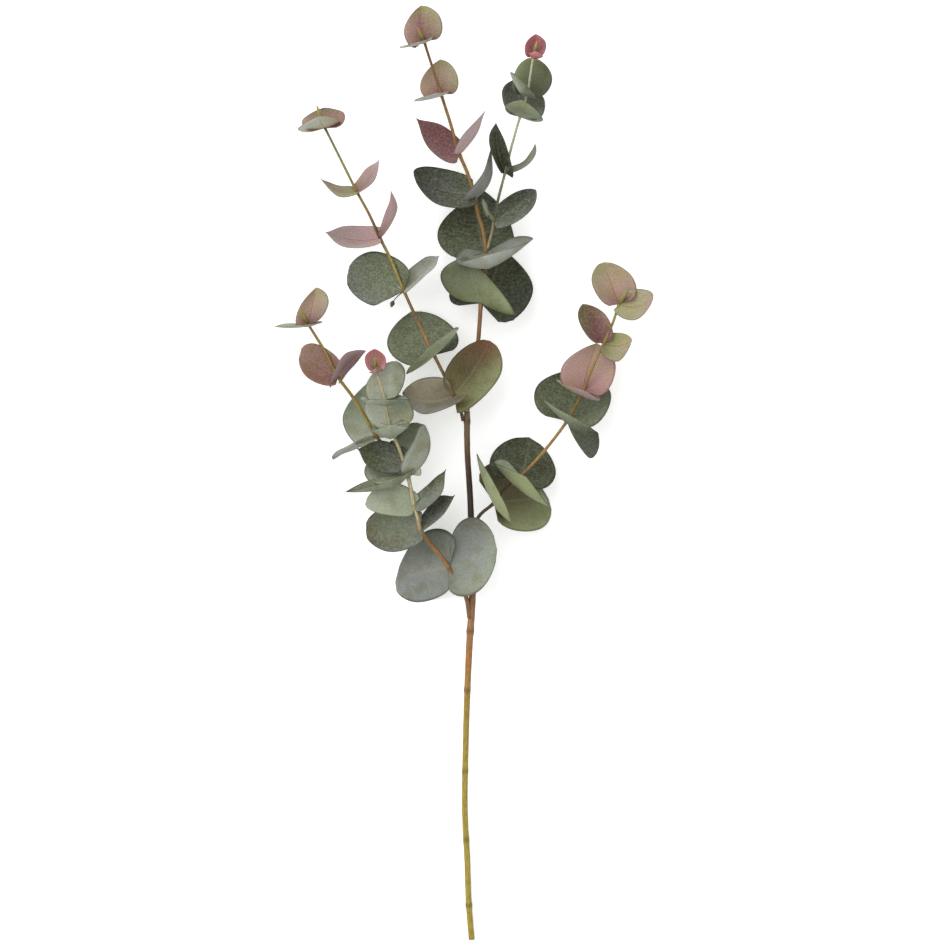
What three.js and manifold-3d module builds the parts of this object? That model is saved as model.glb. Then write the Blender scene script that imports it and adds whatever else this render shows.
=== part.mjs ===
// A cut eucalyptus branch, lying on its leaves: a bare main stem and six leafy twigs.
// The leaves have no stalk. They sit on their twig in opposite pairs, each pair turned a quarter
// round from the one below it, so that one pair spreads left and right and the next one points
// towards the viewer and away.
// +Y runs from the cut end to the tips, +Z up, the table at Z = 0, millimetres.
import * as THREE from "three";
import { mergeVertices } from "three/addons/utils/BufferGeometryUtils.js";
import Module from "manifold-3d";

const wasm = await Module();
wasm.setup();

// The branch is laid out on a drawing, x to the right and y down the page. Heights are in
// millimetres: above the table for a twig, above its own twig for a leaf.
const UNIT = 0.9; // millimetres for one unit of the drawing
const CENTRE = [464, 473]; // the drawing's point over the origin
const BLADE = 0.7; // thickness of a leaf
const GAP = 0.3; // clearance between neighbouring pieces
const SLIVER = 0.03; // facets narrower than this, left by a join, are merged
const WIDEST = 0.4; // share of a leaf's length at which it is widest
const WAVE = 0.7; // height of the waves along a leaf's edge
const BELLY = 0.1; // how hollow a leaf is, as a share of its width
const BLUNT = 0.8; // how pointed a leaf is, from 0.6 for a round one to 1.4 for a sharp one
const SMALL = 34; // a leaf shorter than this has fewer facets
// Stations along a leaf and across it.
const LARGE_GRID = [
  [0, 0.03, 0.13, 0.32, 0.56, 0.79, 0.94, 1],
  [-1, -0.55, 0, 0.55, 1],
];
const SMALL_GRID = [
  [0, 0.05, 0.25, 0.55, 0.82, 1],
  [-1, 0, 1],
];
const TWIG_SIDES = 6;
const TWIG_STEP = 14;
const STEM_SIDES = 10;
const STEM_STEPS = 36;

const COLOURS = {
  wood: "#7a5a33",
  green: "#566152",
  young: "#94706a",
  rose: "#a4525a",
};

// Each path is a list of [x, y, height]. A leaf row reads: where it sits on the twig, then its
// tip, the middle of its midrib, its left and its right edge where it is widest, all as
// [x, y, height above the twig], then how far its base lobes reach back (one number, or one for
// each side) and how pointed it is. Left and right are those of someone who walks from base to
// tip on the upper, hollow face.
const STEM = {
  path: [
    [471.7, 941, 2.7],
    [468.8, 905, 3.6],
    [467.2, 860, 5.4],
    [464.8, 810, 8.6],
    [465.4, 760, 12],
    [467, 700, 17],
    [469.4, 645, 22],
    [472.4, 595, 26],
    [471.5, 540, 29],
    [470.3, 500, 31],
    [467.3, 450, 33],
    [467, 411, 34],
  ],
  radius: [2.65, 2.65, 2.7, 2.7, 2.75, 2.95, 3.2, 3, 2.8, 2.65, 2.75],
  // swellings where old leaves sat
  knots: [
    [907, 0.5],
    [842, 0.25],
    [772, 0.25],
    [690, 0.3],
    [631, 0.5],
    [421, 0.5],
  ],
};

const TWIGS = {
  leader: {
    path: [
      [467.1, 410.6, 34],
      [478, 342, 35],
      [481, 303, 35],
      [485, 270, 35],
      [486, 252, 36],
      [483, 230, 36],
      [478, 213, 36],
      [474, 193, 36],
      [467, 172, 36],
      [459, 153, 36],
      [450, 122, 36],
      [441, 94, 36],
      [431, 63, 36],
      [424, 41, 36],
    ],
    radius: [2.1, 1.75, 1.15],
    split: [465, 167],
    leaves: [
      [[481, 303], [503, 248, -39], [494, 276, -24], [451, 288, -14], [532, 297, -12], [0.05, 0.6]],
      [[481, 303], [467, 257, 17], [473, 281, 14], [514, 312, 8], [441, 281, 10], 0.15],
      [[486, 252], [484, 190, -30], [479, 224, -22], [437, 237, -8], [513, 233, -12], 0.3],
      [[486, 252], [488, 256, 42], [489, 269, 26], [533, 239, 22], [456, 262, 22], [0.05, 0.2]],
      [[474, 193], [414, 176, 6], [443, 190, -5], [447, 208, 10], [438, 168, -6], 0.3, 0.6],
      [[475, 198], [491, 148, 4], [487, 181, 0], [489, 183, -14], [480, 181, 17], [0, 0.5], 1],
    ],
    youngLeaves: [
      [[459, 154], [416, 118, 6], [438, 139, -2], [436, 156, 8], [451, 131, -6], [0.15, 0.08], 1.3],
      [[459, 154], [485, 111, 5], [472, 137, -1], [473, 139, -9], [463, 137, 13], [0, 0.2], 1.2],
      [[441, 94], [440, 59, -12], [438, 77, -11], [420, 88, 0], [458, 79, 0], 0.2, 0.6],
      [[441, 94], [436, 94, 26], [436, 98, 14], [449, 92, 10], [414, 101, 10], 0.15],
      [[424, 41], [421, 5, -10], [420, 22, -9], [404, 34, 2], [442, 23, 2], [0.3, 0.15], 0.6],
      [[424, 41], [419, 43, 24], [419, 45, 12], [432, 39, 10], [400, 48, 10], 0.15],
    ],
    bud: [[424, 40], [418, 28, 6], 4],
  },
  fork_twig: {
    path: [
      [487.5, 249, 36],
      [492, 232, 37],
      [494, 220, 37],
      [498, 200, 38],
      [505, 173, 38],
      [512, 145, 39],
      [520, 117, 39],
      [527, 95, 39],
      [531, 70, 40],
      [533.5, 57, 40],
    ],
    radius: [1.35, 1.15, 1],
    split: [532, 63],
    leaves: [
      [[493.5, 222], [536, 190, 6], [517, 206, -4], [508, 197, 0], [524, 217, 8], 0.3],
      [[493.5, 222], [483, 199, 10], [486, 212, 3], [484, 212, -10], [490, 211, 15], 0.1],
      [[505, 173], [496, 123, 8], [498, 149, -3], [490, 148, 8], [509, 156, 6], [0.3, 0.3], 1.1],
      [[505, 173], [535, 144, 5], [524.5, 166, 1], [528, 165, -8], [522, 162, 8], 0.1],
      [[520, 117], [517, 79, -20], [519, 98, -17], [502, 95, -6], [545, 103, -8], [0.2, 0.4]],
      [[520, 117], [522, 101, 22], [522, 111, 14], [543, 120, 6], [505, 107, 6], 0.15],
      [[527, 95], [533, 57, -16], [532, 77, -14], [514, 76, 0], [552, 82, 0], 0.35, 0.6],
      [[527, 95], [527, 87, 26], [520, 93, 14], [536, 98, 6], [510.5, 73, 10], 0.05],
    ],
    youngLeaves: [
      [[533.5, 57], [536, 34, -5], [535, 46, -7], [525, 47, 3], [546, 47, 3], 0.3],
      [[533.5, 57], [536, 52, 11], [535, 59, 7], [543, 57, 4], [527, 54, 4], 0.2],
    ],
    bud: [[533.5, 56], [537, 41, 4], 4],
  },
  left_high_twig: {
    path: [
      [463.2, 421, 35],
      [461, 412, 36],
      [454, 396, 38],
      [445, 377, 39],
      [434, 355, 39],
      [424, 334, 39],
      [413, 311, 39],
      [404, 291, 39],
      [391, 260, 39],
      [380, 238, 39],
      [369, 214, 39],
      [357, 192, 38],
      [342, 162, 37],
      [325, 128, 36],
    ],
    radius: [1.6, 1.4, 1.05],
    split: [393, 264],
    leaves: [
      [[454, 396], [402, 393, -10], [428, 402, -8], [430, 415, 8], [432, 377, 4], [0.9, 0]],
      [[454, 396], [490, 341, 12], [473, 371, 1], [451, 361, 8], [497, 382, 6], [0.05, 0.7], 0.6],
      [[434, 355], [411, 311, -41], [418, 333, -25], [389, 351, -8], [455, 330, -8], [0.35, 0.1], 0.6],
      [[434, 355], [430, 347, 32], [431, 357, 18], [458, 328, 16], [406, 374, 14], 0.2],
      [[404, 291], [347, 277, 2], [375, 284, -8], [374, 306, 2], [380, 252, -6], [-0.45, 0.4], 0.5],
      [[404, 291], [439, 256, 4], [421, 275, -2], [415, 264, -10], [427, 275, 14], 0.4, 1.1],
    ],
    youngLeaves: [
      [[380, 238], [325, 232, 4], [353, 240, -6], [354, 249, 8], [356, 226, -6], 0.3, 1.2],
      [[380, 238], [391, 191, 6], [391, 217, 0], [395, 216, -13], [386, 214, 13], 0.1, 1.1],
      [[357, 192], [321, 179, 6], [339, 191, -1], [341, 197, 9], [343, 186, -9], 0.2, 1.2],
      [[357, 192], [379, 160, 6], [369, 179, -3], [362, 174, -6], [373, 182, 9], 0.3, 1.2],
      [[325, 128], [324, 107, -16], [325, 117, -13], [302, 122, -2], [345, 116, -2], 0.4],
      [[325, 128], [320, 117, 20], [321, 123, 12], [340, 121, 6], [298, 130, 6], 0.15],
    ],
    bud: [[324, 126], [316.5, 105, 4], 5],
    droplet: { stalk: [[404, 291, 39], [398, 296, 42], [393.5, 301, 43]], tip: [391, 307.5, 43] },
  },
  left_mid_twig: {
    path: [
      [405.8, 469.5, 39],
      [398, 462, 34],
      [388, 451, 30],
      [381, 442, 29],
      [376, 436, 29],
      [363, 413, 29],
      [352, 396, 30],
      [338, 377, 31],
      [327, 355, 31],
      [308, 324, 31],
    ],
    radius: [1.5, 1.5, 1.2],
    split: [352, 396],
    leaves: [
      [[378, 437], [368, 382, -33], [364, 408, -24], [343, 426, -10], [390, 404, -14], [0.35, 0.4]],
      [[376, 436], [332.5, 459, 2], [353, 447, 0], [350, 451, -13], [348, 445, 9], 0.1, 0.6],
    ],
    youngLeaves: [
      [[338, 377], [300, 354, 4], [319, 368, -7], [312, 381, 4], [321, 346, -2], 0.4, 0.6],
      [[339, 377], [366, 351, 14], [349, 362, 5], [350, 369, -2], [342, 357, 17], [0.3, 0.9]],
      [[308, 324], [316, 287, -12], [312, 305, -10], [296, 316, 0], [328, 305, 0], 0.05],
      [[308, 324], [301, 326, 18], [304, 327, 9], [322, 322, 8], [275, 326, 8], 0.1],
    ],
    bud: [[308, 324], [299, 308, 5], 4.2],
  },
  left_low_twig: {
    path: [
      [469.5, 618, 26],
      [466, 597, 29],
      [456, 580, 35],
      [449, 568, 38],
      [440, 555, 39],
      [421, 531, 40],
      [418, 518, 40],
      [414, 506, 40],
      [411, 490, 40],
      [407, 472, 40],
      [401, 453, 40],
      [390, 426, 41],
      [385, 400, 42],
      [380, 383, 42],
      [376, 371, 42],
    ],
    radius: [2.1, 1.9, 1.2],
    split: [377.5, 376],
    leaves: [
      [[449, 568], [395, 582, -44], [422, 572, -24], [423, 602, -46], [431, 529, -18], [0.3, 0.3], 0.5],
      [[449, 568], [497, 550, 8], [476, 560, 2], [467, 518, 2], [472, 595, 6], [0, 0.2], 0.5],
      [[421, 531], [366, 532, 2], [394, 535, -9], [395, 552, -2], [392, 506, -12], 0.4, 0.5],
      [[421, 531], [455, 495, 6], [438, 514, -2], [432, 502, -12], [442, 515, 12], 0.2, 1.4],
      [[414, 506], [365, 504, 8], [390, 501, 2], [393, 516, 10], [394, 482, 0], [0.1, 0.4], 0.6],
      [[414, 506], [446, 469, 8], [431, 491, 0], [425, 487, -4], [436, 501, 12], 0.2, 1.4],
      [[407, 474], [392, 440, -27], [397, 458, -19], [365, 476, -6], [417, 462, -8], 0.3],
      [[407, 474], [392, 481, 20], [395, 487, 10], [410, 472, 8], [346, 491, 8], 0.1],
      [[406, 465], [357, 448.5, 4], [381, 458, -4], [377, 471, 4], [388, 442, -4], [0.1, 0.5], 1.4],
      [[409, 478], [425, 425, 4], [429, 453, -2], [394, 440, -12], [408, 451, 14], [0.2, 0], 0.6],
      [[390, 426], [377, 392, -14], [382, 410, -10], [366, 414, -2], [411, 404, -4], 0.4],
      [[390, 426], [391, 425, 26], [391, 439, 14], [410, 425, 10], [371, 430, 8], 0.1],
      [[385, 400], [392, 361, -14], [388, 380, -11], [366, 386, -2], [405, 378, -2], 0.2, 0.6],
      [[385, 400], [387, 400, 22], [385, 406, 12], [410, 399, 8], [360, 399, 8], 0.1],
    ],
    youngLeaves: [
      [[376, 371], [375, 349, -5], [375, 360, -7], [365, 360, 3], [386, 361, 3], 0.3],
      [[376, 371], [377, 367, 11], [376, 373, 7], [383, 369, 4], [369, 373, 4], 0.2],
    ],
    bud: [[376, 371], [374.5, 357, 5], 4],
  },
  right_twig: {
    path: [
      [473.5, 527, 29],
      [480, 515, 30],
      [494, 503, 32],
      [503, 492, 33],
      [521, 476, 35],
      [545, 450, 36],
      [567, 421, 36],
      [576, 405, 36],
      [583, 391, 36],
      [595, 362, 36],
      [604, 343, 36],
      [612, 325, 36],
      [619, 304, 36],
    ],
    radius: [1.6, 1.35, 1.15],
    split: [575, 407],
    leaves: [
      [[494, 503], [549, 499, -36], [523, 500, -22], [501, 461, -8], [533, 531, -12], [0.35, 0.35], 0.5],
      [[494, 503], [500, 495, 34], [493, 501, 18], [512, 523, 12], [476, 454, 12], 0.1],
      [[521, 476], [529, 437, -26], [527, 457, -19], [491, 457, -6], [556, 475, -8], 0.5, 0.45],
      [[521, 476], [526, 477, 30], [518, 488, 16], [550, 507, 10], [495, 462, 12], 0.15],
      [[567, 421], [579, 369, -30], [574, 396, -20], [535, 391, -6], [611, 401, -8], [0.15, 0.5]],
      [[567, 421], [598, 433, 24], [580, 432, 13], [588, 457, 2], [546, 402, 12], 0.1, 0.6],
    ],
    youngLeaves: [
      [[583, 391], [597, 343, -16], [588, 368, -14], [561, 370, 0], [615, 373, -2], [0.1, 0.4]],
      [[583, 391], [584, 391, 28], [582, 396, 15], [600, 400, 8], [556, 381, 10], 0.15],
      [[604, 343], [583, 304, 4], [595, 325, -5], [581, 326, 2], [609, 320, 2], 0.2],
      [[604, 343], [632, 340, 8], [618, 346, 2], [618, 333, 2], [615, 362, 6], [0.15, 0.4]],
      [[619, 304], [604, 262, -8], [611, 284, -10], [593, 287, 0], [635, 282, 0], [0.3, 0.1], 0.6],
      [[619, 304], [653, 299, 10], [636, 307, 3], [639, 289, 2], [631, 321, 6], [0.1, 0.4], 0.6],
    ],
    bud: [[620, 303], [628, 289, 7], 4.6],
  },
};

// A drawing point as a vector in millimetres.
function place([x, y, height]) {
  return new THREE.Vector3((x - CENTRE[0]) * UNIT, (CENTRE[1] - y) * UNIT, height);
}

function pathCurve(path) {
  return new THREE.CatmullRomCurve3(path.map(place), false, "centripetal");
}

// The share of a curve's length at which it passes closest to a drawing point.
function shareAt(curve, [x, y]) {
  const flat = place([x, y, 0]);
  const points = curve.getSpacedPoints(600);
  let best = 0;
  let least = Infinity;
  points.forEach((point, i) => {
    const far = Math.hypot(point.x - flat.x, point.y - flat.y);
    if (far < least) {
      least = far;
      best = i;
    }
  });
  return best / 600;
}

// A value from a list that is spread evenly over 0 to 1.
function along(list, share) {
  const at = Math.min(Math.max(share, 0), 1) * (list.length - 1);
  const i = Math.min(Math.floor(at), list.length - 2);
  return THREE.MathUtils.lerp(list[i], list[i + 1], at - i);
}

function solid(geometry) {
  const bare = geometry.index ? geometry.toNonIndexed() : geometry;
  bare.deleteAttribute("normal");
  bare.deleteAttribute("uv");
  const merged = mergeVertices(bare, 1e-4);
  return new wasm.Manifold(
    new wasm.Mesh({
      numProp: 3,
      vertProperties: new Float32Array(merged.attributes.position.array),
      triVerts: new Uint32Array(merged.index.array),
    }),
  );
}

function join(solids) {
  return solids.reduce((a, b) => a.add(b)).simplify(SLIVER);
}

function largest(made) {
  return made.decompose().sort((a, b) => b.volume() - a.volume())[0];
}

// A round stick along part of a curve. radiusAt gives its radius at each share of the whole.
function stick(curve, from, to, steps, sides, radiusAt) {
  const points = [];
  for (let i = 0; i <= steps; i++) {
    points.push(curve.getPointAt(THREE.MathUtils.lerp(from, to, i / steps)));
  }
  const piece = new THREE.CatmullRomCurve3(points);
  const section = new THREE.Shape();
  for (let i = 0; i < sides; i++) {
    const turn = (i / sides) * 2 * Math.PI;
    const method = i === 0 ? "moveTo" : "lineTo";
    section[method](Math.cos(turn), Math.sin(turn));
  }
  section.closePath();
  const geometry = new THREE.ExtrudeGeometry(section, {
    steps,
    bevelEnabled: false,
    extrudePath: piece,
  });
  swell(geometry, piece.getSpacedPoints(steps), (share) => {
    return radiusAt(THREE.MathUtils.lerp(from, to, share));
  });
  return solid(geometry);
}

// Scales each ring of a stick of radius 1 to its own radius.
function swell(geometry, centres, radiusAt) {
  const position = geometry.attributes.position;
  const at = new THREE.Vector3();
  for (let i = 0; i < position.count; i++) {
    at.fromBufferAttribute(position, i);
    let ring = 0;
    centres.forEach((centre, k) => {
      if (at.distanceTo(centre) < at.distanceTo(centres[ring])) ring = k;
    });
    const centre = centres[ring];
    at.sub(centre).multiplyScalar(radiusAt(ring / (centres.length - 1))).add(centre);
    position.setXYZ(i, at.x, at.y, at.z);
  }
}

// Half width of a leaf at a share of its length, 1 at its widest. Blunt at the base, a short
// point at the tip.
function outline(u, sharp) {
  if (u <= 0 || u >= 1) return 0;
  const power = THREE.MathUtils.lerp(0.5, sharp, u * u * u);
  const bend = Math.log(0.5) / Math.log(WIDEST);
  return Math.pow(Math.sin(Math.PI * Math.pow(u, bend)), power);
}

// The middle surface of a leaf as a function of u, base to tip, and v, left edge to right.
function leafSurface(base, row, index) {
  const [, tipAt, middleAt, leftAt, rightAt, lobe, sharp = BLUNT] = row;
  const lobes = [lobe].flat();
  const lift = ([x, y, z]) => place([x, y, z + base.z]);
  const [tip, middle, left, right] = [tipAt, middleAt, leftAt, rightAt].map(lift);
  const bend = middle.clone().multiplyScalar(2).sub(base.clone().add(tip).divideScalar(2));
  const midrib = new THREE.QuadraticBezierCurve3(base, bend, tip);
  const widest = midrib.getPoint(WIDEST);
  const sides = [left.clone().sub(widest), right.clone().sub(widest)];
  const depth = BELLY * (sides[0].length() + sides[1].length());
  const back = bend.clone().sub(base).normalize().multiplyScalar(tip.distanceTo(base));
  const upper = right.clone().sub(left).cross(tip.clone().sub(base)).normalize();
  return (u, v) => {
    const width = outline(u, sharp);
    const side = v < 0 ? sides[0] : sides[1];
    const reach = Math.abs(v);
    const backed = (v < 0 ? lobes[0] : lobes.at(-1)) * Math.max(0, 1 - u / 0.6) ** 2;
    const wave = WAVE * Math.sin(9 * u + 2.4 * v + index * 1.7) * reach * reach;
    const rise = wave - depth * (reach - reach * reach);
    const at = midrib.getPoint(u).addScaledVector(side, reach * width);
    return at
      .addScaledVector(back, -backed * width * reach ** 1.5)
      .addScaledVector(upper, rise * width);
  };
}

// The surface as rows of points, base to tip, each row from the left edge to the right.
function leafGrid(base, row, index) {
  const surface = leafSurface(base, row, index);
  const small = surface(1, 0).distanceTo(base) < SMALL;
  const [rows, across] = small ? SMALL_GRID : LARGE_GRID;
  return rows.map((u) => across.map((v) => surface(u, v)));
}

function gridNormal(grid, i, j) {
  const k = Math.min(Math.max(i, 1), grid.length - 2);
  const line = grid[k];
  const along = grid[k + 1][j].clone().sub(grid[k - 1][j]);
  const over = line[Math.min(j + 1, line.length - 1)].clone().sub(line[Math.max(j - 1, 0)]);
  return over.cross(along).normalize();
}

// The blade as a closed solid: the surface, half a blade up and half a blade down, with the
// same triangles on both faces. It lies flat where it meets the table.
function leafSolid(base, row, index, grow) {
  const grid = leafGrid(base, row, index);
  const last = grid.length - 1;
  const wide = grid[0].length - 1;
  const facing = Math.sign(gridNormal(grid, Math.floor(last / 2), wide / 2).z);
  const points = [];
  const number = {};
  const add = (i, j) => {
    const single = i === 0 || i === last;
    const key = single ? `${i}` : `${i},${j}`;
    if (!(key in number)) {
      number[key] = points.length / 2;
      const k = single ? wide / 2 : j;
      const at = grid[i][k].clone();
      const lies = at.z < BLADE / 2;
      const out = lies ? new THREE.Vector3(0, 0, facing) : gridNormal(grid, i, k);
      at.z = Math.max(at.z, BLADE / 2);
      out.multiplyScalar(BLADE / 2 + grow);
      points.push(at.clone().add(out), at.clone().sub(out));
    }
    return number[key];
  };
  const faces = [];
  for (let i = 0; i < last; i++) {
    for (let j = 0; j < wide; j++) {
      const [a, b, c, d] = [add(i, j), add(i, j + 1), add(i + 1, j + 1), add(i + 1, j)];
      if (a !== b) faces.push([a, b, c]);
      if (c !== d) faces.push([a, c, d]);
    }
  }
  return closeBlade(points, faces, rim(add, last, wide));
}

// The blade's edge as a closed loop of point numbers.
function rim(add, last, wide) {
  const loop = [add(0, 0)];
  for (let i = 1; i < last; i++) loop.push(add(i, wide));
  loop.push(add(last, 0));
  for (let i = last - 1; i > 0; i--) loop.push(add(i, 0));
  return loop;
}

function closeBlade(points, faces, loop) {
  const index = [];
  faces.forEach(([a, b, c]) => {
    index.push(2 * a, 2 * b, 2 * c);
    index.push(2 * a + 1, 2 * c + 1, 2 * b + 1);
  });
  loop.forEach((a, k) => {
    const b = loop[(k + 1) % loop.length];
    index.push(2 * a, 2 * a + 1, 2 * b + 1);
    index.push(2 * a, 2 * b + 1, 2 * b);
  });
  const geometry = new THREE.BufferGeometry().setFromPoints(points);
  geometry.setIndex(index);
  return solid(geometry);
}

// A pointed bud from its seat on the twig.
function budSolid(base, [, tipAt, width]) {
  const tip = place([tipAt[0], tipAt[1], tipAt[2] + base.z]);
  const axis = tip.clone().sub(base);
  const length = axis.length();
  const profile = [
    [0, 0],
    [0.8, 0.05],
    [1, 0.3],
    [0.6, 0.7],
    [0, 1],
  ].map(([r, h]) => new THREE.Vector2((r * width) / 2, h * length));
  const geometry = new THREE.LatheGeometry(profile, 6);
  const turn = new THREE.Quaternion().setFromUnitVectors(
    new THREE.Vector3(0, 1, 0),
    axis.normalize(),
  );
  geometry.applyQuaternion(turn);
  geometry.translate(base.x, base.y, base.z);
  return solid(geometry);
}

function stemSolid(grow) {
  const curve = pathCurve(STEM.path);
  const knots = STEM.knots.map(([y, height]) => [shareAt(curve, [467, y]), height]);
  const radiusAt = (share) => {
    const bumps = knots.map(([at, height]) => height * Math.exp(-(((share - at) / 0.008) ** 2)));
    return along(STEM.radius, share) + Math.max(...bumps) + grow;
  };
  return stick(curve, 0, 1, STEM_STEPS, STEM_SIDES, radiusAt);
}

function twigStick(twig, from, to, grow) {
  const curve = pathCurve(twig.path);
  const steps = Math.max(2, Math.round((curve.getLength() * (to - from)) / TWIG_STEP));
  return stick(curve, from, to, steps, TWIG_SIDES, (share) => along(twig.radius, share) + grow);
}

function leavesOf(twig, rows, grow) {
  const curve = pathCurve(twig.path);
  return rows.map((row, i) => {
    const base = curve.getPointAt(shareAt(curve, row[0]));
    return leafSolid(base, row, i, grow);
  });
}

// A small bud that hangs from a leaf node on a stalk.
function hangingBud({ stalk, tip }) {
  const last = stalk.at(-1);
  const seat = place(last);
  const bud = budSolid(seat, [last, [tip[0], tip[1], tip[2] - last[2]], 3.2]);
  return [stick(pathCurve(stalk), 0, 1, 3, 5, (share) => 0.8 - 0.3 * share), bud];
}

function green(twig, grow = 0) {
  const curve = pathCurve(twig.path);
  const end = shareAt(curve, twig.split) - GAP / 2 / curve.getLength();
  const extra = twig.droplet ? hangingBud(twig.droplet) : [];
  return join([twigStick(twig, 0, end, grow), ...leavesOf(twig, twig.leaves, grow), ...extra]);
}

function young(twig) {
  const curve = pathCurve(twig.path);
  const start = shareAt(curve, twig.split) + GAP / 2 / curve.getLength();
  const seat = curve.getPointAt(shareAt(curve, twig.bud[0]));
  const leaves = leavesOf(twig, twig.youngLeaves, 0);
  return join([twigStick(twig, start, 1, 0), ...leaves, budSolid(seat, twig.bud)]);
}

// A twig with the leaves among which another one springs from it.
function near(twig, first, end, grow) {
  return join([twigStick(twig, 0, 1, grow), ...leavesOf(twig, twig.leaves, grow).slice(first, end)]);
}

function mesh(name, made, colour, roughness) {
  const { numProp, vertProperties, triVerts } = made.getMesh();
  const position = [];
  for (let i = 0; i < vertProperties.length; i += numProp) {
    position.push(vertProperties[i], vertProperties[i + 1], vertProperties[i + 2]);
  }
  const geometry = new THREE.BufferGeometry();
  geometry.setAttribute("position", new THREE.Float32BufferAttribute(position, 3));
  geometry.setIndex(Array.from(triVerts));
  geometry.computeVertexNormals();
  const material = new THREE.MeshStandardMaterial({ color: colour, roughness, metalness: 0 });
  const piece = new THREE.Mesh(geometry, material);
  piece.name = name;
  return piece;
}

const branch = new THREE.Group();
const thickStem = stemSolid(GAP);
branch.add(mesh("main_stem", stemSolid(0), COLOURS.wood, 0.75));

// Where a twig springs from another piece, its foot is hollowed to that piece's shape.
const FEET = {
  fork_twig: () => near(TWIGS.leader, 2, 4, GAP),
  left_high_twig: () => thickStem,
  left_low_twig: () => thickStem,
  right_twig: () => thickStem,
  left_mid_twig: () => near(TWIGS.left_low_twig, 6, 10, GAP),
};

const YOUNG_ROSE = ["fork_twig", "left_low_twig"];

for (const [name, twig] of Object.entries(TWIGS)) {
  let grown = green(twig);
  if (FEET[name]) grown = largest(grown.subtract(FEET[name]()));
  branch.add(mesh(`${name}_leaves`, grown, COLOURS.green, 0.8));
  const rose = YOUNG_ROSE.includes(name);
  const tipName = rose ? `${name}_tip` : `${name}_young`;
  branch.add(mesh(tipName, young(twig), rose ? COLOURS.rose : COLOURS.young, 0.8));
}

export default branch;
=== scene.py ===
import math

import bmesh
import bpy
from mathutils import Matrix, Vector, noise


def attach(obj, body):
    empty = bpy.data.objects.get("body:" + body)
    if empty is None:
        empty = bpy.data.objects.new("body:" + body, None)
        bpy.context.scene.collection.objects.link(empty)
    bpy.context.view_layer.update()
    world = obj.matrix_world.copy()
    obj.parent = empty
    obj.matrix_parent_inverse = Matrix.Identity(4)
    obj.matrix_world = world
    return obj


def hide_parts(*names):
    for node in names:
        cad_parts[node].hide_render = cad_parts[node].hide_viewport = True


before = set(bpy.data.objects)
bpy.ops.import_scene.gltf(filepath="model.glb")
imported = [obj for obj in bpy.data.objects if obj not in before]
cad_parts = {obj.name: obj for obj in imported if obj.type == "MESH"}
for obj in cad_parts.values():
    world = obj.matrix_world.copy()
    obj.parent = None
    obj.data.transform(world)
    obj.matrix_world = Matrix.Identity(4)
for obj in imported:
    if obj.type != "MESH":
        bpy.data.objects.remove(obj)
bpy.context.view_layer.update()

# The branch is laid out on a drawing, x to the right and y down the page. Heights are in
# millimetres: above the table for the stem, the twigs and the hanging bud, and above its seat on
# the twig for a leaf or an end bud.
UNIT = 0.0009  # metres for one unit of the drawing
CENTRE = (464, 473)  # the drawing's point over the origin
MM = 0.001  # metres
BLADE = 0.5 * MM  # thickness of a leaf
LOWEST = 0.35 * MM  # lowest middle of a blade: half the thickness of the solid's blades
WIDEST = 0.4  # share of a leaf's length at which it is widest
WAVE = 0.7 * MM  # height of the waves along a leaf's edge
BELLY = 0.1  # each half of a leaf sags by a quarter of this share of the leaf's width
BLUNT = 0.8  # how pointed a leaf is, from 0.45 for a round one to 1.4 for a sharp one
LOBED = 0.6  # share of a leaf's length along which its sides are drawn back into lobes
ACROSS, ALONG = 14, 20  # squares across a blade and along it
DENSE = 40  # points on a path's curve for each length between two drawn points
STEM_STEPS = 260  # even lengths that the stem's path is then cut into
TWIG_STEPS = 600  # even lengths that a twig's path is then cut into
COARSER = 4  # how many of those lengths one row of faces on a twig spans
STEM_X = 467  # the drawing's x along the middle of the stem
ROUGH = 0.05  # how far wood is off round, as a share of its radius
KNOT = 0.006  # reach of a swelling on the stem, as a share of its length
JOINT = 0.012  # reach of a joint on a twig, as a share of its length
JOINT_RISE = 0.35  # millimetres, how far a joint stands out
SCAR = 0.005  # reach of the brown at a joint or an old scar, as a share of the length

# Each path is a list of [x, y, height]. A leaf row reads: where it sits on the twig, then its
# tip, the middle of its midrib, its left and its right edge where it is widest, all as
# [x, y, height above the twig], then how far its base lobes reach back (one number, or one for
# each side) and how pointed it is. Left and right are those of someone who walks from base to
# tip on the upper, hollow face. A radius list is in millimetres, at even steps along the path.
# A split is where the lower twig ends and the upper one begins. A bud reads: its seat, its tip as
# [x, y, height above the seat], and its width in millimetres.
STEM = {
    "path": [
        [471.7, 941, 2.7],
        [468.8, 905, 3.6],
        [467.2, 860, 5.4],
        [464.8, 810, 8.6],
        [465.4, 760, 12],
        [467, 700, 17],
        [469.4, 645, 22],
        [472.4, 595, 26],
        [471.5, 540, 29],
        [470.3, 500, 31],
        [467.3, 450, 33],
        [467, 411, 34],
    ],
    "radius": [2.65, 2.65, 2.7, 2.7, 2.75, 2.95, 3.2, 3, 2.8, 2.65, 2.75],
    # swellings where old leaves sat, as [y, height in millimetres]
    "knots": [
        [907, 0.5],
        [842, 0.25],
        [772, 0.25],
        [690, 0.3],
        [631, 0.5],
        [421, 0.5],
    ],
}

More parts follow.
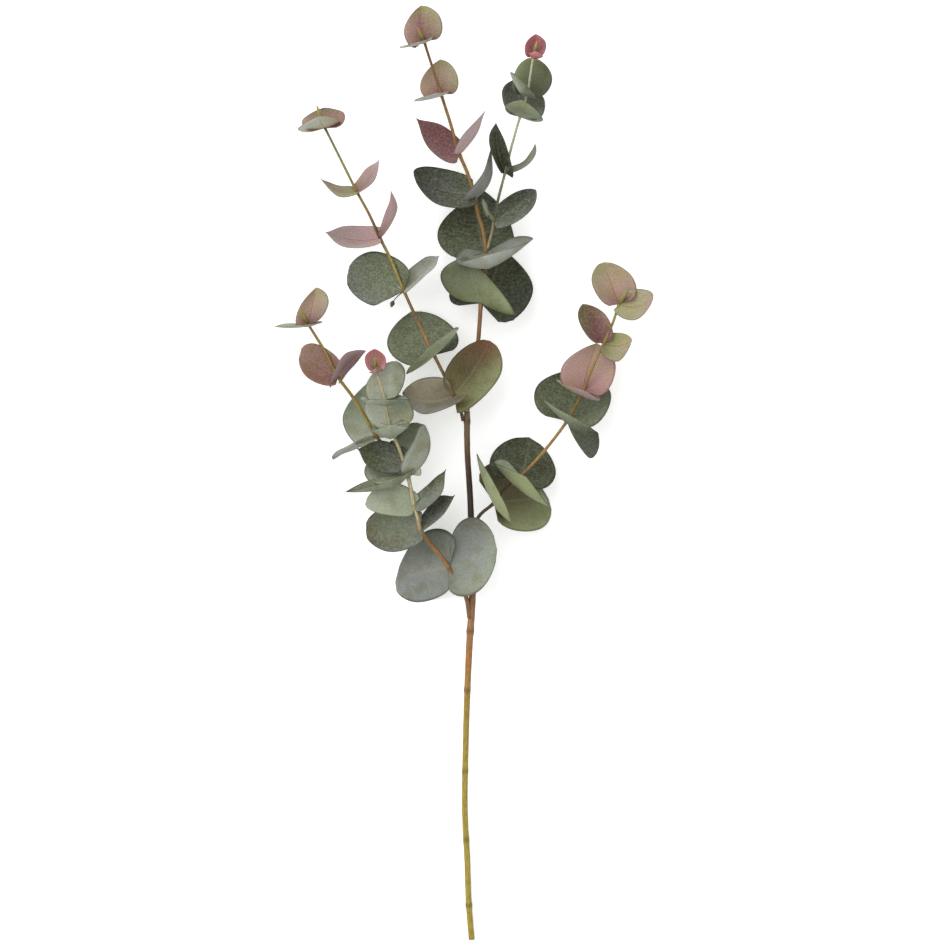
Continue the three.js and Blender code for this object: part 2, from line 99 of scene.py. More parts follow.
TWIGS = {
    "leader": {
        "path": [
            [467.1, 410.6, 34],
            [478, 342, 35],
            [481, 303, 35],
            [485, 270, 35],
            [486, 252, 36],
            [483, 230, 36],
            [478, 213, 36],
            [474, 193, 36],
            [467, 172, 36],
            [459, 153, 36],
            [450, 122, 36],
            [441, 94, 36],
            [431, 63, 36],
            [424, 41, 36],
        ],
        "radius": [2.1, 1.75, 1.15],
        "split": [465, 167],
        "leaves": [
            [[481, 303], [503, 248, -39], [494, 276, -24], [451, 288, -14], [532, 297, -12], [0.05, 0.6]],
            [[481, 303], [467, 257, 17], [473, 281, 14], [514, 312, 8], [441, 281, 10], 0.15],
            [[486, 252], [484, 190, -30], [479, 224, -22], [437, 237, -8], [513, 233, -12], 0.3],
            [[486, 252], [488, 256, 42], [489, 269, 26], [533, 239, 22], [456, 262, 22], [0.05, 0.2]],
            [[474, 193], [414, 176, 6], [443, 190, -5], [447, 208, 10], [438, 168, -6], 0.3, 0.6],
            [[475, 198], [491, 148, 4], [487, 181, 0], [489, 183, -14], [480, 181, 17], [0, 0.5], 1],
        ],
        "young": [
            [[459, 154], [416, 118, 6], [438, 139, -2], [436, 156, 8], [451, 131, -6], [0.15, 0.08], 1.3],
            [[459, 154], [485, 111, 5], [472, 137, -1], [473, 139, -9], [463, 137, 13], [0, 0.2], 1.2],
            [[441, 94], [440, 59, -12], [438, 77, -11], [420, 88, 0], [458, 79, 0], 0.2, 0.6],
            [[441, 94], [436, 94, 26], [436, 98, 14], [449, 92, 10], [414, 101, 10], 0.15],
            [[424, 41], [421, 5, -10], [420, 22, -9], [404, 34, 2], [442, 23, 2], [0.3, 0.15], 0.6],
            [[424, 41], [419, 43, 24], [419, 45, 12], [432, 39, 10], [400, 48, 10], 0.15],
        ],
        "bud": [[424, 40], [418, 28, 6], 4],
    },
    "fork_twig": {
        "path": [
            [487.5, 249, 36],
            [492, 232, 37],
            [494, 220, 37],
            [498, 200, 38],
            [505, 173, 38],
            [512, 145, 39],
            [520, 117, 39],
            [527, 95, 39],
            [531, 70, 40],
            [533.5, 57, 40],
        ],
        "radius": [1.35, 1.15, 1],
        "split": [532, 63],
        "leaves": [
            [[493.5, 222], [536, 190, 6], [517, 206, -4], [508, 197, 0], [524, 217, 8], 0.3],
            [[493.5, 222], [483, 199, 10], [486, 212, 3], [484, 212, -10], [490, 211, 15], 0.1],
            [[505, 173], [496, 123, 8], [498, 149, -3], [490, 148, 8], [509, 156, 6], [0.3, 0.3], 1.1],
            [[505, 173], [535, 144, 5], [524.5, 166, 1], [528, 165, -8], [522, 162, 8], 0.1],
            [[520, 117], [517, 79, -20], [519, 98, -17], [502, 95, -6], [545, 103, -8], [0.2, 0.4]],
            [[520, 117], [522, 101, 22], [522, 111, 14], [543, 120, 6], [505, 107, 6], 0.15],
            [[527, 95], [533, 57, -16], [532, 77, -14], [514, 76, 0], [552, 82, 0], 0.35, 0.6],
            [[527, 95], [527, 87, 26], [520, 93, 14], [536, 98, 6], [510.5, 73, 10], 0.05],
        ],
        "young": [
            [[533.5, 57], [536, 34, -5], [535, 46, -7], [525, 47, 3], [546, 47, 3], 0.3],
            [[533.5, 57], [536, 52, 11], [535, 59, 7], [543, 57, 4], [527, 54, 4], 0.2],
        ],
        "bud": [[533.5, 56], [537, 41, 4], 4],
    },
    "left_high_twig": {
        "path": [
            [463.2, 421, 35],
            [461, 412, 36],
            [454, 396, 38],
            [445, 377, 39],
            [434, 355, 39],
            [424, 334, 39],
            [413, 311, 39],
            [404, 291, 39],
            [391, 260, 39],
            [380, 238, 39],
            [369, 214, 39],
            [357, 192, 38],
            [342, 162, 37],
            [325, 128, 36],
        ],
        "radius": [1.6, 1.4, 1.05],
        "split": [393, 264],
        "leaves": [
            [[454, 396], [402, 393, -10], [428, 402, -8], [430, 415, 8], [432, 377, 4], [0.9, 0]],
            [[454, 396], [490, 341, 12], [473, 371, 1], [451, 361, 8], [497, 382, 6], [0.05, 0.7], 0.6],
            [[434, 355], [411, 311, -41], [418, 333, -25], [389, 351, -8], [455, 330, -8],
             [0.35, 0.1], 0.6],
            [[434, 355], [430, 347, 32], [431, 357, 18], [458, 328, 16], [406, 374, 14], 0.2],
            [[404, 291], [347, 277, 2], [375, 284, -8], [374, 306, 2], [380, 252, -6], [-0.45, 0.4], 0.5],
            [[404, 291], [439, 256, 4], [421, 275, -2], [415, 264, -10], [427, 275, 14], 0.4, 1.1],
        ],
        "young": [
            [[380, 238], [325, 232, 4], [353, 240, -6], [354, 249, 8], [356, 226, -6], 0.3, 1.2],
            [[380, 238], [391, 191, 6], [391, 217, 0], [395, 216, -13], [386, 214, 13], 0.1, 1.1],
            [[357, 192], [321, 179, 6], [339, 191, -1], [341, 197, 9], [343, 186, -9], 0.2, 1.2],
            [[357, 192], [379, 160, 6], [369, 179, -3], [362, 174, -6], [373, 182, 9], 0.3, 1.2],
            [[325, 128], [324, 107, -16], [325, 117, -13], [302, 122, -2], [345, 116, -2], 0.4],
            [[325, 128], [320, 117, 20], [321, 123, 12], [340, 121, 6], [298, 130, 6], 0.15],
        ],
        "bud": [[324, 126], [316.5, 105, 4], 5],
        "droplet": {"stalk": [[404, 291, 39], [398, 296, 42], [393.5, 301, 43]], "tip": [391, 307.5, 43]},
    },
    "left_mid_twig": {
        "path": [
            [405.8, 469.5, 39],
            [398, 462, 34],
            [388, 451, 30],
            [381, 442, 29],
            [376, 436, 29],
            [363, 413, 29],
            [352, 396, 30],
            [338, 377, 31],
            [327, 355, 31],
            [308, 324, 31],
        ],
        "radius": [1.5, 1.5, 1.2],
        "split": [352, 396],
        "leaves": [
            [[378, 437], [368, 382, -33], [364, 408, -24], [343, 426, -10], [390, 404, -14], [0.35, 0.4]],
            [[376, 436], [332.5, 459, 2], [353, 447, 0], [350, 451, -13], [348, 445, 9], 0.1, 0.6],
        ],
        "young": [
            [[338, 377], [300, 354, 4], [319, 368, -7], [312, 381, 4], [321, 346, -2], 0.4, 0.6],
            [[339, 377], [366, 351, 14], [349, 362, 5], [350, 369, -2], [342, 357, 17], [0.3, 0.9]],
            [[308, 324], [316, 287, -12], [312, 305, -10], [296, 316, 0], [328, 305, 0], 0.05],
            [[308, 324], [301, 326, 18], [304, 327, 9], [322, 322, 8], [275, 326, 8], 0.1],
        ],
        "bud": [[308, 324], [299, 308, 5], 4.2],
    },
    "left_low_twig": {
        "path": [
            [469.5, 618, 26],
            [466, 597, 29],
            [456, 580, 35],
            [449, 568, 38],
            [440, 555, 39],
            [421, 531, 40],
            [418, 518, 40],
            [414, 506, 40],
            [411, 490, 40],
            [407, 472, 40],
            [401, 453, 40],
            [390, 426, 41],
            [385, 400, 42],
            [380, 383, 42],
            [376, 371, 42],
        ],
        "radius": [2.1, 1.9, 1.2],
        "split": [377.5, 376],
        "leaves": [
            [[449, 568], [395, 582, -44], [422, 572, -24], [423, 602, -46], [431, 529, -18],
             [0.3, 0.3], 0.5],
            [[449, 568], [497, 550, 8], [476, 560, 2], [467, 518, 2], [472, 595, 6], [0, 0.2], 0.5],
            [[421, 531], [366, 532, 2], [394, 535, -9], [395, 552, -2], [392, 506, -12], 0.4, 0.5],
            [[421, 531], [455, 495, 6], [438, 514, -2], [432, 502, -12], [442, 515, 12], 0.2, 1.4],
            [[414, 506], [365, 504, 8], [390, 501, 2], [393, 516, 10], [394, 482, 0], [0.1, 0.4], 0.6],
            [[414, 506], [446, 469, 8], [431, 491, 0], [425, 487, -4], [436, 501, 12], 0.2, 1.4],
            [[407, 474], [392, 440, -27], [397, 458, -19], [365, 476, -6], [417, 462, -8], 0.3],
            [[407, 474], [392, 481, 20], [395, 487, 10], [410, 472, 8], [346, 491, 8], 0.1],
            [[406, 465], [357, 448.5, 4], [381, 458, -4], [377, 471, 4], [388, 442, -4], [0.1, 0.5], 1.4],
            [[409, 478], [425, 425, 4], [429, 453, -2], [394, 440, -12], [408, 451, 14], [0.2, 0], 0.6],
            [[390, 426], [377, 392, -14], [382, 410, -10], [366, 414, -2], [411, 404, -4], 0.4],
            [[390, 426], [391, 425, 26], [391, 439, 14], [410, 425, 10], [371, 430, 8], 0.1],
            [[385, 400], [392, 361, -14], [388, 380, -11], [366, 386, -2], [405, 378, -2], 0.2, 0.6],
            [[385, 400], [387, 400, 22], [385, 406, 12], [410, 399, 8], [360, 399, 8], 0.1],
        ],
        "young": [
            [[376, 371], [375, 349, -5], [375, 360, -7], [365, 360, 3], [386, 361, 3], 0.3],
            [[376, 371], [377, 367, 11], [376, 373, 7], [383, 369, 4], [369, 373, 4], 0.2],
        ],
        "bud": [[376, 371], [374.5, 357, 5], 4],
    },
    "right_twig": {
        "path": [
            [473.5, 527, 29],
            [480, 515, 30],
            [494, 503, 32],
            [503, 492, 33],
            [521, 476, 35],
            [545, 450, 36],
            [567, 421, 36],
            [576, 405, 36],
            [583, 391, 36],
            [595, 362, 36],
            [604, 343, 36],
            [612, 325, 36],
            [619, 304, 36],
        ],
        "radius": [1.6, 1.35, 1.15],
        "split": [575, 407],
        "leaves": [
            [[494, 503], [549, 499, -36], [523, 500, -22], [501, 461, -8], [533, 531, -12],
             [0.35, 0.35], 0.5],
            [[494, 503], [500, 495, 34], [493, 501, 18], [512, 523, 12], [476, 454, 12], 0.1],
            [[521, 476], [529, 437, -26], [527, 457, -19], [491, 457, -6], [556, 475, -8], 0.5, 0.45],
            [[521, 476], [526, 477, 30], [518, 488, 16], [550, 507, 10], [495, 462, 12], 0.15],
            [[567, 421], [579, 369, -30], [574, 396, -20], [535, 391, -6], [611, 401, -8], [0.15, 0.5]],
            [[567, 421], [598, 433, 24], [580, 432, 13], [588, 457, 2], [546, 402, 12], 0.1, 0.6],
        ],
        "young": [
            [[583, 391], [597, 343, -16], [588, 368, -14], [561, 370, 0], [615, 373, -2], [0.1, 0.4]],
            [[583, 391], [584, 391, 28], [582, 396, 15], [600, 400, 8], [556, 381, 10], 0.15],
            [[604, 343], [583, 304, 4], [595, 325, -5], [581, 326, 2], [609, 320, 2], 0.2],
            [[604, 343], [632, 340, 8], [618, 346, 2], [618, 333, 2], [615, 362, 6], [0.15, 0.4]],
            [[619, 304], [604, 262, -8], [611, 284, -10], [593, 287, 0], [635, 282, 0], [0.3, 0.1], 0.6],
            [[619, 304], [653, 299, 10], [636, 307, 3], [639, 289, 2], [631, 321, 6], [0.1, 0.4], 0.6],
        ],
        "bud": [[620, 303], [628, 289, 7], 4.6],
    },
}

# Leaf colours, from the darkest greens, which also serve as painted shade, through greys and browns to
# the pink of young growth.
TONES = {
    "ink": "#2a2c24",
    "bottle": "#3b4032",
    "moss": "#484d38",
    "thicket": "#565d46",
    "olive": "#6a673e",
    "fern": "#676e56",
    "sage": "#788069",
    "leek": "#848d65",
    "lettuce": "#8e976f",
    "dusty": "#89917e",
    "celadon": "#9aa288",
    "mist": "#a6ab99",
    "silver": "#c0c4b4",
    "slate": "#555751",
    "stone": "#70756b",
    "ash": "#858984",
    "pearl": "#adaca6",
    "umber": "#52492b",
    "russet": "#6c4532",
    "bark": "#6d6651",
    "khaki": "#7e7963",
    "sand": "#97907b",
    "lime": "#97956a",
    "wine": "#6f4a4a",
    "plum": "#7c5d5f",
    "rosewood": "#89605c",
    "clay": "#8d7264",
    "tan": "#a18b78",
    "blush": "#a98e80",
    "rose": "#a4656a",
    "coral": "#bd7b80",
    "mauve": "#9a8586",
    "lilac": "#ab9b9e",
    "pink": "#b3938e",
    "petal": "#bfa2a2",
    "frost": "#d0d3c6",
}

# Each leaf in the order of its twig's rows: stalk end, middle, tip, left side, right side. Thinly
# waxed leaves are smooth as well. Darker words also carry painted shade where a fold, a curl or
# a leaf above shades part of a leaf, on top of the leaf's own colour.
LOOKS = {
    "leader": [
        "bottle moss moss bottle bottle",
        "leek fern thicket lettuce thicket smooth",
        "thicket moss bottle moss thicket",
        "stone ash pearl ash stone smooth",
        "thicket slate bottle slate bottle",
        "ash stone slate bottle ash",
    ],
    "leader_young": [
        "plum wine wine plum wine",
        "petal petal lilac mauve lilac smooth",
        "wine blush lime blush sand",
        "pearl pearl pearl tan pearl",
        "wine rosewood lime pink sand",
        "pearl pearl pearl sand pearl",
    ],
    "fork_twig": [
        "stone moss slate bottle stone",
        "leek mist dusty celadon thicket",
        "ink moss slate thicket moss",
        "slate dusty sage dusty sage",
        "stone slate moss slate stone",
        "sage sage leek sage sage smooth",
        "moss thicket lettuce lettuce moss smooth",
        "mist mist thicket sage dusty smooth",
    ],
    "fork_twig_young": [
        "rose rose coral rose rosewood",
        "coral rose coral rose coral",
    ],
    "left_high_twig": [
        "bark khaki sand ash sand smooth",
        "olive umber russet umber leek smooth",
        "thicket fern fern fern fern",
        "dusty leek sage celadon fern",
        "fern fern stone stone fern",
        "pearl dusty ash stone pearl",
    ],
    "left_high_twig_young": [
        "pink mauve mauve lilac mauve",
        "rosewood petal pink mauve petal",
        "lime khaki clay sand khaki",
        "clay mauve lilac blush mauve",
        "rosewood clay khaki tan clay",
        "tan mist mist tan pearl",
    ],
    "left_mid_twig": [
        "mist dusty sage dusty dusty smooth",
        "frost pearl ash ash silver smooth",
    ],
    "left_mid_twig_young": [
        "rosewood clay blush rosewood clay",
        "mauve plum mauve plum mauve",
        "wine blush tan blush sand",
        "sand dusty mist clay mist",
    ],
    "left_low_twig": [
        "stone ash ash ash moss smooth",
        "stone ash dusty slate dusty smooth",
        "stone sage bark stone dusty",
        "stone slate moss bottle stone",
        "dusty celadon mist celadon celadon smooth",
        "ash fern moss moss ash",
        "celadon dusty moss dusty silver",
        "sage sage fern dusty fern",
        "stone moss moss thicket bottle",
        "frost mist fern sage dusty",
        "celadon frost mist silver celadon",
        "dusty sage dusty mist dusty",
        "dusty silver mist mist sage",
        "dusty celadon fern sage mist",
    ],
    "left_low_twig_young": [
        "pink blush coral coral rose",
        "coral pink rosewood pink pink",
    ],
    "right_twig": [
        "olive umber leek umber lettuce smooth",
        "lettuce lettuce lettuce leek sage smooth",
        "moss moss moss bottle moss",
        "leek lettuce leek leek fern smooth",
        "fern fern moss thicket sage",
        "thicket moss bottle slate celadon",
    ],
    "right_twig_young": [
        "rosewood pink blush pink pink smooth",
        "rose pink mauve mauve pink smooth",
        "wine wine olive bark clay",
        "olive lime blush lime sand",
        "rosewood blush lime sand tan",
        "lime lime blush sand sand",
    ],
}

# The colours of the wood, at even steps from foot to tip.
STEM_BARK = [
    "#98862f", "#9a8a34", "#9a8a36", "#9a8a38", "#9b8b38", "#998838", "#988238", "#96793a",
    "#9a6834", "#906c48", "#7a5638", "#3e3024", "#33251b", "#33251b", "#5c4630", "#705c42",
]
TWIG_BARK = {
    "leader": ["#6e4e34", "#7f5c3c", "#8c6a40", "#8f6e3c", "#8a6a3c", "#6e5034"],
    "fork_twig": ["#a39a76", "#5f5c42", "#a0a184", "#b0b296", "#b9ba9e"],
    "left_high_twig": [
        "#4a3620", "#6f5230", "#8a6a3c", "#a07c4c", "#6a5234", "#8a7c40",
        "#988a40", "#5c4426", "#8a7038", "#8a7c40", "#7b7846", "#6e6c40",
    ],
    "left_mid_twig": ["#5e4a24", "#8d7a33", "#8a7636", "#8d7a3c"],
    "left_low_twig": [
        "#7f5c3a", "#7f5c3a", "#8a663c", "#80592f", "#b0a57e",
        "#b5ad88", "#b5ad88", "#b5ad88", "#b5ad88", "#b0aa86",
    ],
    "right_twig": ["#3a2c24", "#54402e", "#96793f", "#94783f", "#8a6f3c", "#8f7c42", "#94874c"],
}
SHADE_AND_SCAR_BARK = "#3a2818"  # colour of the painted shade on one side of the wood, and of the brown at a scar
PAINTED_SHADE_SIDE, TANNED_SCAR = 0.75, 0.45  # share of that colour: painted shade along the right side, real brown at a scar
SHOOT_BARK = ["#33382b", "#4a5443"]  # foot and tip of the hanging bud and its stalk
BUD_SCALES = ["#77733c", "#9a9455"]  # foot and tip of an end bud
LEAF_BACK = "#8a9080"  # the face turned to the table is plainer than the one the camera sees
SMOOTH = 0.3  # share of the wax clouds that a smooth leaf has


def linear(hex_colour):
    """An sRGB hex value as linear red, green, blue and alpha."""
    parts = [int(hex_colour[i : i + 2], 16) / 255 for i in (1, 3, 5)]
    return [p / 12.92 if p <= 0.04045 else ((p + 0.055) / 1.055) ** 2.4 for p in parts] + [1.0]


def mix(a, b, share):
    """The numbers of a, each moved by a share of its way to b."""
    return [x + (y - x) * share for x, y in zip(a, b)]


def place(x, y, height):
    """A drawing point, at a height in millimetres, in metres."""
    return Vector(((x - CENTRE[0]) * UNIT, (CENTRE[1] - y) * UNIT, height * MM))


def step(values, share):
    """A value from a list that is spread evenly over 0 to 1."""
    at = min(max(share, 0.0), 1.0) * (len(values) - 1)
    i = min(int(at), len(values) - 2)
    if isinstance(values[0], (list, tuple, Vector)):
        return type(values[0])(mix(values[i], values[i + 1], at - i))
    return values[i] + (values[i + 1] - values[i]) * (at - i)


def spline(path):
    """A dense centripetal Catmull-Rom curve through a drawn path."""
    knots = [place(*p) for p in path]
    knots = [2 * knots[0] - knots[1]] + knots + [2 * knots[-1] - knots[-2]]
    dense = []
    for a, b, c, d in zip(knots, knots[1:], knots[2:], knots[3:]):
        ab, bc, cd = [max((q - p).length, 1e-9) ** 0.5 for p, q in ((a, b), (b, c), (c, d))]
        leave = ((b - a) / ab - (c - a) / (ab + bc) + (c - b) / bc) * bc
        arrive = ((c - b) / bc - (d - b) / (bc + cd) + (d - c) / cd) * bc
        for k in range(DENSE):
            t = k / DENSE
            from_b = b * (2 * t**3 - 3 * t**2 + 1) + leave * (t**3 - 2 * t**2 + t)
            dense.append(from_b + c * (3 * t**2 - 2 * t**3) + arrive * (t**3 - t**2))
    return dense + [knots[-2]]


def smooth_path(path, count):
    """Points that cut a drawn path's curve into a count of equal lengths."""
    dense = spline(path)
    lengths = [0.0]
    for p, q in zip(dense, dense[1:]):
        lengths.append(lengths[-1] + (q - p).length)
    out, i = [], 0
    for k in range(count + 1):
        far = lengths[-1] * k / count
        while i < len(dense) - 2 and lengths[i + 1] < far:
            i += 1
        span = max(lengths[i + 1] - lengths[i], 1e-12)
        out.append(dense[i].lerp(dense[i + 1], (far - lengths[i]) / span))
    return out


def nearest(points, x, y):
    """The number of the point that is closest to a drawing point, seen from above."""
    spot = place(x, y, 0).xy
    return min(range(len(points)), key=lambda k: (points[k].xy - spot).length)


def share_at(points, x, y):
    """The share of a path's length at which it passes closest to a drawing point."""
    return nearest(points, x, y) / (len(points) - 1)


def hump(share, centres, reach):
    """1 at each of the centres along a stick, and near 0 at twice the reach from them."""
    return max([math.exp(-(((share - at) / reach) ** 2)) for at in centres] + [0])


# Meshes
def sheet(bm, columns, rows, where, paint):
    """A grid whose points go to where(x, y), with x and y from 0 to 1 kept as its UV map."""
    uv = bm.loops.layers.uv["blade"]
    made = bmesh.ops.create_grid(bm, x_segments=columns, y_segments=rows, size=0.5)["verts"]
    flat = {v: (v.co.x + 0.5, v.co.y + 0.5) for v in made}
    for face in {f for v in made for f in v.link_faces}:
        face.smooth = True
        for loop in face.loops:
            loop[uv].uv = flat[loop.vert]
    for v, (x, y) in flat.items():
        v.co = where(x, y)
        paint(v, x, y)
    bmesh.ops.remove_doubles(bm, verts=made, dist=1e-6)
    return [v for v in made if v.is_valid]


def new_mesh():
    """An empty mesh with a UV map and a colour for each of a blade's two faces."""
    bm = bmesh.new()
    bm.loops.layers.uv.new("blade")
    for name in ("seen", "other"):
        bm.verts.layers.float_color.new(name)
    return bm


def finish_piece(bm, name, materials, node, slot):
    """The mesh as a piece of the branch, in place of a node."""
    mesh = bpy.data.meshes.new(name)
    bm.to_mesh(mesh)
    bm.free()
    for material in materials:
        mesh.materials.append(material)
    piece = bpy.data.objects.new(name, mesh)
    bpy.context.collection.objects.link(piece)
    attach(piece, "root")
    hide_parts(node)
    return piece


def stick(bm, points, radius_at, colours, sides, start=0.0, end=1.0, rings=()):
    """A round stick along points, with a radius and colours at each share of the whole length.
    Its right side is darkened with painted shade, and it is browner at each ring, where a leaf or an old
    scar sits."""
    seen = bm.verts.layers.float_color["seen"]
    tones, shade_and_scar = [linear(c) for c in colours], linear(SHADE_AND_SCAR_BARK)
    steps = len(points) - 1
    ends = round(start * steps), round(end * steps)
    rows = max(ends[1] - ends[0], 2)

    def where(x, y):
        share = (ends[0] + y * (ends[1] - ends[0])) / steps
        at = step(points, share)
        way = (step(points, share + 0.5 / steps) - step(points, share - 0.5 / steps)).normalized()
        side = way.cross(Vector((0, 0, 1))).normalized()
        turn = x * 2 * math.pi
        out = side * math.cos(turn) + side.cross(way) * math.sin(turn)
        spot = Vector((math.cos(turn) * 2, math.sin(turn) * 2, share * 60))
        return at + out * radius_at(share) * (1 + ROUGH * noise.noise(spot))

    def paint(v, x, y):
        share = start + y * (end - start)
        # Painted shade: the right side is darkened, as if lit from the left.
        right = PAINTED_SHADE_SIDE * max(0.0, math.cos(x * 2 * math.pi + 0.4)) ** 2
        scar = TANNED_SCAR * hump(share, rings, SCAR)
        v[seen] = mix(step(tones, share), shade_and_scar, max(right, scar))

    made = sheet(bm, sides, rows, where, paint)
    rims = {e for v in made for e in v.link_edges if e.is_boundary}
    bmesh.ops.holes_fill(bm, edges=list(rims), sides=0)
    bmesh.ops.recalc_face_normals(bm, faces=list({f for v in made for f in v.link_faces}))


def outline(u, sharp):
    """Half width of a leaf at a share of its length: blunt at the base, a short point at the tip."""
    if u <= 0 or u >= 1:
        return 0.0
    power = 0.5 + (sharp - 0.5) * u**3
    return math.sin(math.pi * u ** (math.log(0.5) / math.log(WIDEST))) ** power


def leaf_tone(tones, x, y):
    """The colour at one place on a blade. Stalk end, middle, tip, left and right are each
    strongest where their word says."""
    across, belt = 2 * x - 1, 4 * y * (1 - y)
    shares = [
        (1 - y) ** 3,
        belt * (1 - abs(across)) * 0.8,
        y**3,
        belt * max(-across, 0.0),
        belt * max(across, 0.0),
    ]
    return [sum(s * t[i] for s, t in zip(shares, tones)) / sum(shares) for i in range(3)]


def leaf(bm, seat, row, index, look):
    """One leaf from its row: the same surface as the solid's, finer and with its own colours.
    Their alpha is the share of the wax clouds."""
    tip, middle, left, right = [place(x, y, z + seat.z / MM) for x, y, z in row[1:5]]
    lobes = row[5] if isinstance(row[5], list) else [row[5], row[5]]
    sharp = row[6] if len(row) > 6 else BLUNT
    bend = 2 * middle - (seat + tip) / 2

    def midrib(u):
        return seat * (1 - u) ** 2 + bend * 2 * u * (1 - u) + tip * u * u

    sides = [left - midrib(WIDEST), right - midrib(WIDEST)]
    depth = BELLY * (sides[0].length + sides[1].length)
    back = (bend - seat).normalized() * (tip - seat).length
    upper = (right - left).cross(tip - seat).normalized()
    words = look.split()
    tones = [linear(TONES[word]) for word in words[:5]]
    clouded = SMOOTH if words[5:] == ["smooth"] else 1.0
    plain = linear(LEAF_BACK)

    def where(x, y):
        u, v = y, 2 * x - 1
        width, reach = outline(u, sharp), abs(v)
        side = sides[0] if v < 0 else sides[1]
        backed = lobes[0 if v < 0 else 1] * max(0.0, 1 - u / LOBED) ** 2
        wave = WAVE * math.sin(9 * u + 2.4 * v + index * 1.7) * reach * reach
        rise = wave - depth * (reach - reach * reach)
        at = midrib(u) + side * reach * width - back * backed * width * reach**1.5
        at += upper * rise * width
        at.z = max(at.z, LOWEST)
        return at

    # The face turned up carries the leaf's own colour, the one turned to the table a plainer one.
    def paint(v, x, y):
        colour = leaf_tone(tones, x, y) + [clouded]
        hidden = mix(colour, plain, 0.5)
        v[seen] = colour if upper.z > 0 else hidden
        v[other] = hidden if upper.z > 0 else colour

    seen, other = [bm.verts.layers.float_color[n] for n in ("seen", "other")]
    sheet(bm, ACROSS, ALONG, where, paint)


def bud(bm, seat, tip, width, colours):
    """A pointed bud on its seat. The profile is its width at even steps, as a share of the widest."""
    profile = (0.35, 0.8, 1.0, 0.95, 0.75, 0.45, 0.05)
    points = [seat.lerp(tip, k / 6) for k in range(7)]
    stick(bm, points, lambda share: step(profile, share) * width / 2 * MM, colours, sides=10)


# Materials
def add(tree, kind, inputs, out=0, **settings):
    """A node with its settings, linked from sockets or given values; gives one of its outputs."""
    node = tree.nodes.new(kind)
    for key, value in settings.items():
        setattr(node, key, value)
    for key, value in inputs.items():
        if isinstance(value, bpy.types.NodeSocket):
            tree.links.new(value, node.inputs[key])
        else:
            node.inputs[key].default_value = value
    return node.outputs[out]


def new_material(name, **constants):
    """A material, its nodes and its shader, with what is the same all over set on the shader."""
    material = bpy.data.materials.new(name)
    material.use_nodes = True
    shader = material.node_tree.nodes["Principled BSDF"]
    for key, value in constants.items():
        shader.inputs[key.replace("_", " ")].default_value = value
    return material, material.node_tree, shader


# Sockets by number: a Map Range reads its value from 1 to 2 and gives it from 3 to 4, and a Mix
# takes its share at 0 and its two colours at 6 and 7, and gives their mix at 2. PAINT lays one
# colour over another, and TINT multiplies them.
PAINT = {"out": 2, "data_type": "RGBA"}
TINT = {**PAINT, "blend_type": "MULTIPLY"}


def waxed_colour(tree, layer, spot, mottle):
    """A leaf's own colour under clouds of wax of about 2 mm, fainter on pale leaves, and with
    grain of about 1 mm, drawn coarser than life. Gives the colour, the clouds and the grain."""
    tone = add(tree, "ShaderNodeAttribute", {}, "Color", attribute_name=layer)
    waxed = add(tree, "ShaderNodeAttribute", {}, "Alpha", attribute_name=layer)
    cloud = add(tree, "ShaderNodeTexNoise", {"Vector": spot, "Scale": 480, "Detail": 3}, "Fac")
    grain = add(tree, "ShaderNodeTexNoise", {"Vector": spot, "Scale": 900, "Detail": 2}, "Fac")
    light = add(tree, "ShaderNodeRGBToBW", {0: tone})
    paler = {"Value": light, 1: 0.05, 2: 0.24, 3: mottle, 4: mottle * 0.15}
    share = add(tree, "ShaderNodeMapRange", paler)
    share = add(tree, "ShaderNodeMath", {0: share, 1: waxed}, operation="MULTIPLY")
    dark = add(tree, "ShaderNodeMapRange", {"Value": cloud, 1: 0.56, 2: 0.34, 4: share})
    colour = add(tree, "ShaderNodeMix", {0: dark, 6: tone, 7: (0.3, 0.3, 0.26, 1)}, **TINT)
    bloom = add(tree, "ShaderNodeMapRange", {"Value": cloud, 1: 0.5, 2: 0.72, 4: share})
    lit = {0: bloom, 6: colour, 7: (1.9, 1.9, 1.9, 1)}
    colour = add(tree, "ShaderNodeMix", lit, clamp_result=False, **TINT)
    speck = add(tree, "ShaderNodeMapRange", {"Value": grain, 1: 0.3, 2: 0.7, 3: -0.18, 4: 0.18})
    bright = add(tree, "ShaderNodeMath", {0: speck, 1: 1.0}, operation="ADD")
    colour = add(tree, "ShaderNodeMix", {0: 1.0, 6: colour, 7: bright}, **TINT)
    return colour, cloud, grain


def vein_web(tree, reach, along, patch):
    """The midrib, and side veins about 4 mm apart that leave it at a slant and fade to the edge."""
    slant = add(tree, "ShaderNodeMath", {0: reach, 1: -0.3, 2: along}, operation="MULTIPLY_ADD")
    drift = add(tree, "ShaderNodeMath", {0: patch, 1: 0.12, 2: slant}, operation="MULTIPLY_ADD")
    order = add(tree, "ShaderNodeMath", {0: drift, 1: 88.0}, operation="MULTIPLY")
    wave = add(tree, "ShaderNodeMath", {0: order}, operation="SINE")
    crest = add(tree, "ShaderNodeMapRange", {"Value": wave, 1: 0.6, 2: 1.0, 4: 0.5})
    fade = add(tree, "ShaderNodeMapRange", {"Value": reach, 1: 0.95, 2: 0.3})
    side = add(tree, "ShaderNodeMath", {0: crest, 1: fade}, operation="MULTIPLY")
    midrib = add(tree, "ShaderNodeMapRange", {"Value": reach, 1: 0.06, 2: 0.01})
    return add(tree, "ShaderNodeMath", {0: midrib, 1: side}, operation="MAXIMUM")


